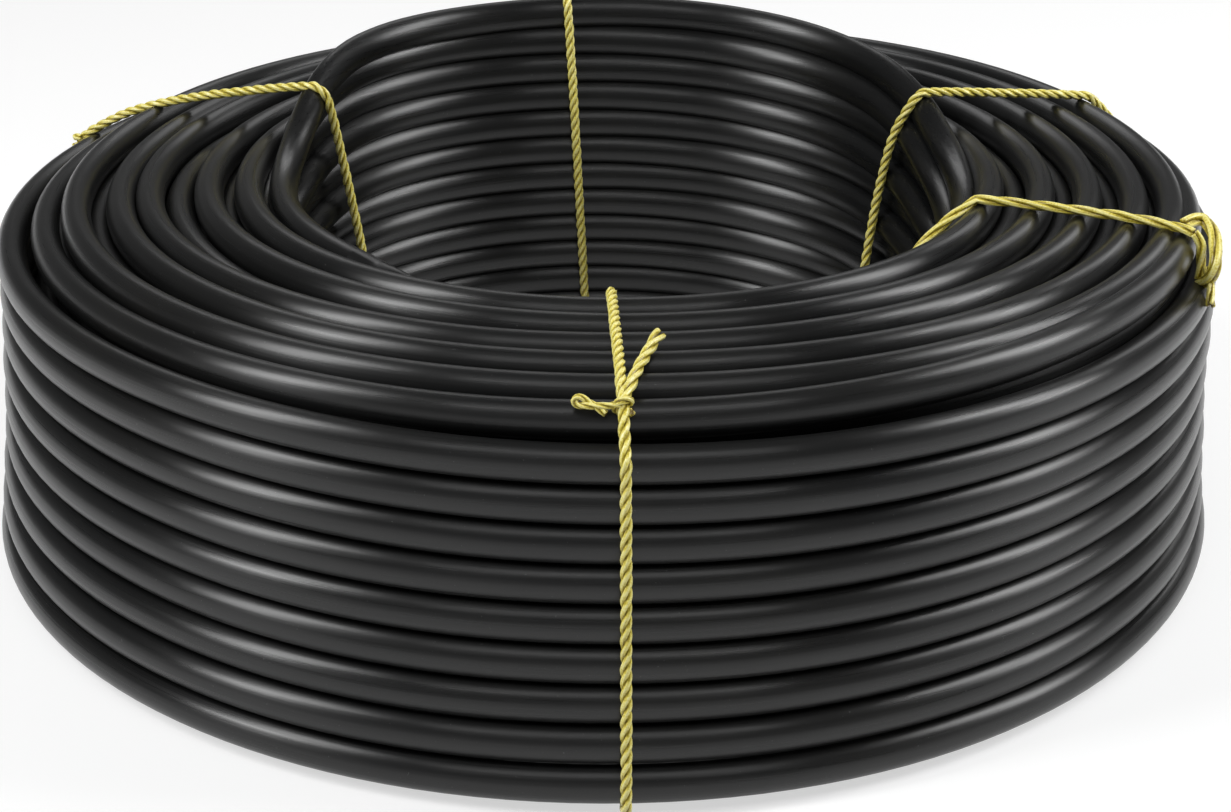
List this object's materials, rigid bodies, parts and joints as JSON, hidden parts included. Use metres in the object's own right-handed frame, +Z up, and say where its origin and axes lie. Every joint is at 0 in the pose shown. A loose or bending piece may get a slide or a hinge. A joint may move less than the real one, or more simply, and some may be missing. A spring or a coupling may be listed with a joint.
{
  "type": "soaker hose",
  "caption": "Long porous watering hose wound into a flat open coil, tied with loops of twine, both cut ends open for push-in fittings.",
  "frame": {"origin": "on the floor under the middle of the coil's eye", "axes": "+Z up through the coil's eye; the picture's camera stands on the -Y side and looks along +Y; the loose inner end lies just inside the eye's -X -Y rim"},
  "size_m": [0.6354, 0.6468, 0.2267],
  "materials": {
    "hose": "satin",
    "twine": "glossy fibre"
  },
  "bodies": {
    "root": {"hidden_turns": "hose", "inner_turns": "hose", "outer_turns": "hose", "inner_end": "hose", "outer_end": "hose", "tie_front": "twine", "tie_right": "twine", "tie_right_back": "twine", "tie_back": "twine", "tie_left_back": "twine"}
  },
  "joints": []
}
